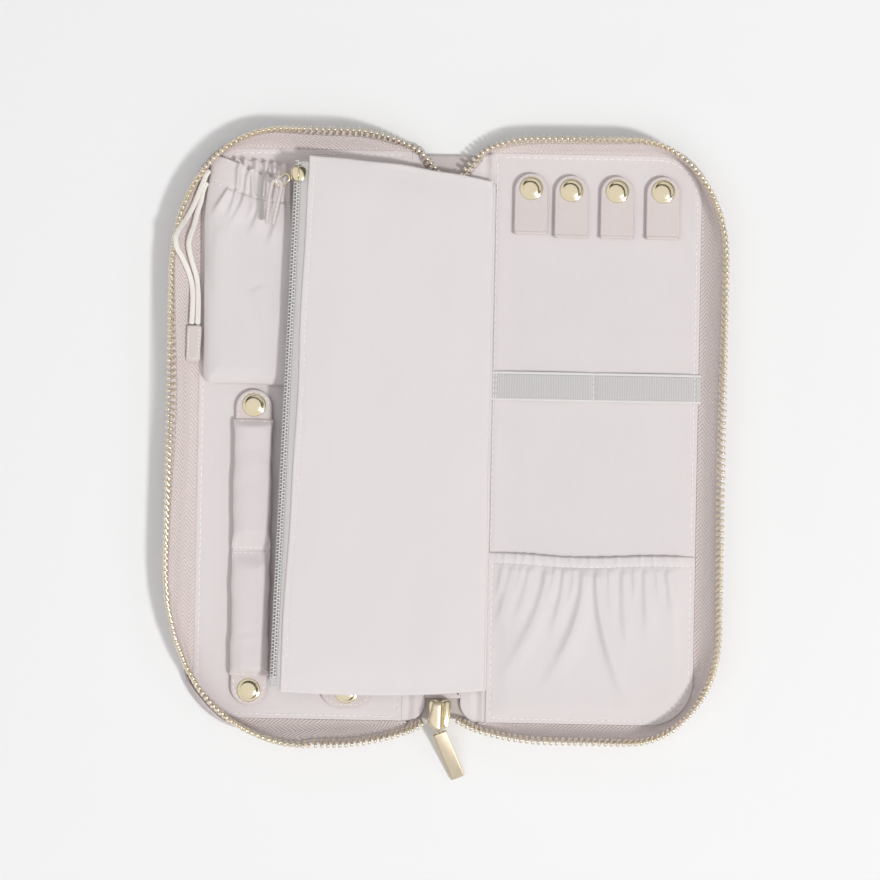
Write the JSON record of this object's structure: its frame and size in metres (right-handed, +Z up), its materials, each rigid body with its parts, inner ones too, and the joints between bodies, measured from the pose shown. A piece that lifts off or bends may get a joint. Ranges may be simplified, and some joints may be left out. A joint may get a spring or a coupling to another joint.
{
  "type": "jewelry case",
  "caption": "Soft two-sided zip case lying open, with necklace tabs, ring strap, elastic pocket, drawstring pouch and a zipped page between its halves.",
  "frame": {"origin": "middle of the spine's underside, on the surface that the open case lies on", "axes": "+X to the half that carries the page, +Y along the spine to its top end, away from the zip slider, +Z up out of the open case"},
  "size_m": [0.2378, 0.2782, 0.0206],
  "materials": {
    "shell": "fine-grained soft sheen",
    "lining": "smooth matt woven cloth",
    "zip_tape": "herringbone woven tape",
    "leather": "fine diagonal grain",
    "gold": "polished pale gold",
    "elastic": "ribbed woven elastic",
    "grey_tape": "matt nylon tape and coil",
    "pouch": "soft satin",
    "cord": "flat soft suede cord",
    "board": "foam and board core"
  },
  "bodies": {
    "right_half": {"right_cover": "shell", "right_board": "board", "right_lining_panel": "lining", "right_gusset": "shell", "right_zip_tape": "zip_tape", "right_zip_teeth": "gold", "elastic_band": "elastic", "elastic_pocket": "lining", "page_root_strip": "lining", "necklace_tab_1_base": "leather", "necklace_tab_2_base": "leather", "necklace_tab_3_base": "leather", "necklace_tab_4_base": "leather"},
    "spine": {"spine_cover": "shell", "spine_board": "board", "spine_lining": "lining", "zip_end_top_right": "gold", "zip_end_top_left": "gold", "zip_end_bottom_right": "gold", "zip_end_bottom_left": "gold", "zip_slider": "gold"},
    "left_half": {"left_cover": "shell", "left_board": "board", "left_lining_panel": "lining", "left_gusset": "shell", "left_zip_tape": "zip_tape", "left_zip_teeth": "gold", "ring_strap_upper_stud": "gold", "ring_strap_lower_stud": "gold", "bracelet_strap": "lining", "bracelet_strap_tab": "leather", "bracelet_strap_cap": "gold", "bracelet_strap_stud": "gold", "pouch": "pouch", "drawstring_a": "cord", "drawstring_b": "cord", "drawstring_end_tab": "leather"},
    "page_hinge": {"page_piping": "lining"},
    "page": {"page_front": "lining", "page_back": "lining", "page_zip_tape": "grey_tape", "page_zip_coil": "grey_tape"},
    "page_slider": {"page_zip_slider": "gold"},
    "page_pull": {"page_zip_link": "gold", "page_zip_pull": "leather"},
    "main_puller": {"zip_puller": "gold"},
    "necklace_tab_1": {"necklace_tab_1_flap": "leather", "necklace_tab_1_cap": "gold"},
    "necklace_tab_2": {"necklace_tab_2_flap": "leather", "necklace_tab_2_cap": "gold"},
    "necklace_tab_3": {"necklace_tab_3_flap": "leather", "necklace_tab_3_cap": "gold"},
    "necklace_tab_4": {"necklace_tab_4_flap": "leather", "necklace_tab_4_cap": "gold"},
    "ring_strap_upper": {"ring_strap_upper": "lining", "ring_strap_upper_tab": "leather", "ring_strap_upper_cap": "gold"},
    "ring_strap_lower": {"ring_strap_lower": "lining", "ring_strap_lower_tab": "leather", "ring_strap_lower_cap": "gold"}
  },
  "joints": [
    {"name": "case_fold", "type": "hinge", "parent": "right_half", "child": "spine", "pos_m": [0.0145, 0, 0.0022], "axis": [0, -1, 0], "range_deg": [-90, 0]},
    {"name": "left_fold", "type": "hinge", "parent": "spine", "child": "left_half", "pos_m": [-0.0145, 0, 0.0022], "axis": [0, -1, 0], "range_deg": [-90, 0]},
    {"name": "page_follow", "type": "hinge", "parent": "right_half", "child": "page_hinge", "pos_m": [0.0178, 0, 0.008], "axis": [0, -1, 0], "range_deg": [-169.5, 0]},
    {"name": "page_flip", "type": "hinge", "parent": "page_hinge", "child": "page", "pos_m": [0.0178, 0, 0.008], "axis": [0, 1, 0], "range_deg": [0, 168.5]},
    {"name": "page_slider_slide", "type": "slide", "parent": "page", "child": "page_slider", "axis": [-0.0296, -0.9996, 0.0029], "range_m": [0, 0.203]},
    {"name": "page_pull_swing", "type": "hinge", "parent": "page_slider", "child": "page_pull", "pos_m": [-0.0697, 0.1091, 0.017], "axis": [-0.9371, 0.349, 0], "range_deg": [0, 18]},
    {"name": "zip_puller_swing", "type": "hinge", "parent": "spine", "child": "main_puller", "pos_m": [-0.0012, -0.1262, 0.0086], "axis": [-0.9205, -0.3907, 0], "range_deg": [0, 95]},
    {"name": "necklace_tab_1_open", "type": "hinge", "parent": "right_half", "child": "necklace_tab_1", "pos_m": [0.0338, 0.0872, 0.0065], "axis": [1, 0, 0], "range_deg": [0, 180]},
    {"name": "necklace_tab_2_open", "type": "hinge", "parent": "right_half", "child": "necklace_tab_2", "pos_m": [0.051, 0.086, 0.0065], "axis": [1, 0, 0], "range_deg": [0, 180]},
    {"name": "necklace_tab_3_open", "type": "hinge", "parent": "right_half", "child": "necklace_tab_3", "pos_m": [0.0706, 0.086, 0.0065], "axis": [1, 0, 0], "range_deg": [0, 180]},
    {"name": "necklace_tab_4_open", "type": "hinge", "parent": "right_half", "child": "necklace_tab_4", "pos_m": [0.0902, 0.086, 0.0065], "axis": [1, 0, 0], "range_deg": [0, 180]},
    {"name": "ring_strap_upper_lift", "type": "hinge", "parent": "left_half", "child": "ring_strap_upper", "pos_m": [-0.0829, -0.05, 0.0073], "axis": [1, 0, 0], "range_deg": [0, 70]},
    {"name": "ring_strap_lower_lift", "type": "hinge", "parent": "left_half", "child": "ring_strap_lower", "pos_m": [-0.0829, -0.05, 0.0073], "axis": [-1, 0, 0], "range_deg": [0, 70]}
  ],
  "couplings": [
    {"joint": "left_fold", "follows": "case_fold", "ratio": 1},
    {"joint": "page_follow", "follows": "case_fold", "ratio": 1.882}
  ]
}
